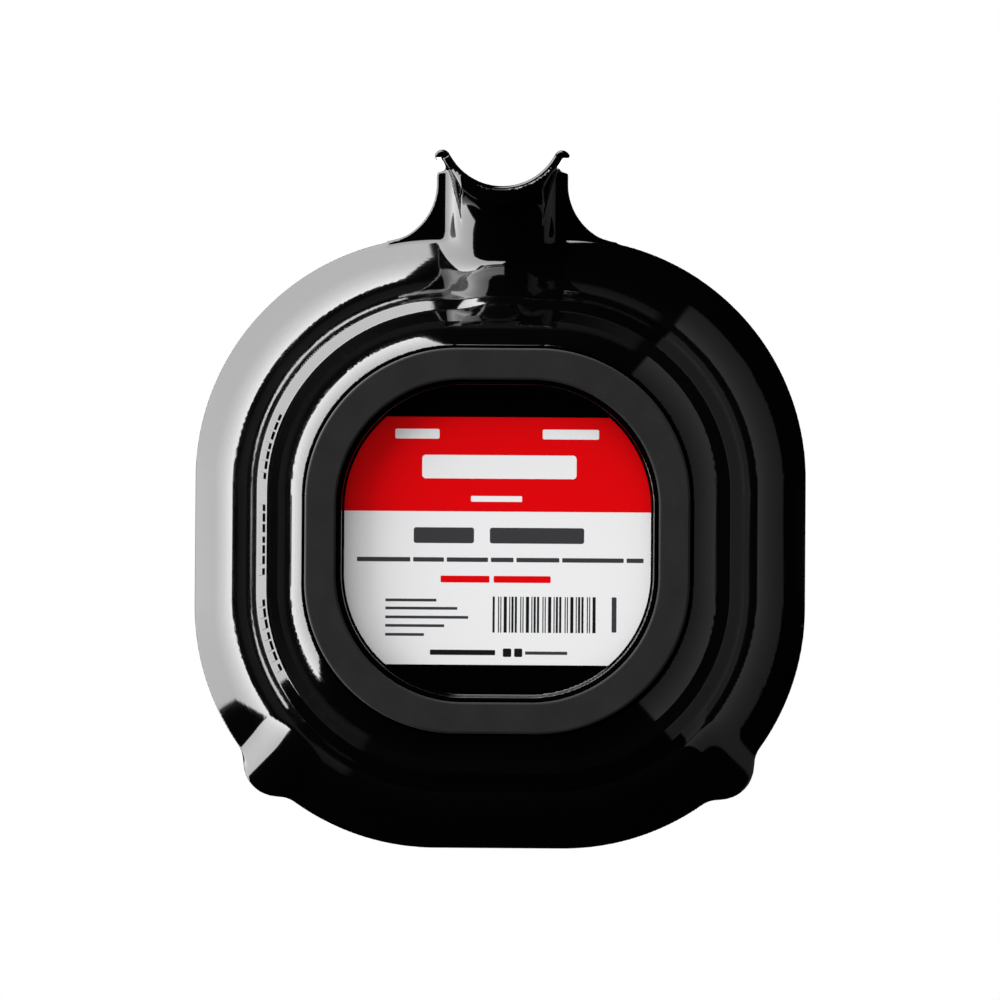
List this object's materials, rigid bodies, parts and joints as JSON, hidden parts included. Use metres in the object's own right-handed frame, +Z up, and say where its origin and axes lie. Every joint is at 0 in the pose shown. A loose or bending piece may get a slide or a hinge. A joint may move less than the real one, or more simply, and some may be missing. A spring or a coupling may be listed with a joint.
{
  "type": "hair color bowl",
  "caption": "Rounded-square mixing bowl with stepped, flared walls, pouring corners, a brush-rest handle and a non-slip rubber ring under its base.",
  "frame": {"origin": "on the table plane, under the middle of the whole part's bounding box", "axes": "+Z up out of the bowl's mouth, +Y towards the handle, +X to the right when looking along +Y"},
  "size_m": [0.156, 0.1778, 0.058],
  "materials": {
    "bowl_plastic": "moulded, polished, black",
    "ring_rubber": "matte, dark grey",
    "label_paper": "coated, printed red and white"
  },
  "bodies": {
    "root": {"bowl_shell": "bowl_plastic", "non_slip_ring": "ring_rubber", "base_label": "label_paper"}
  },
  "joints": []
}
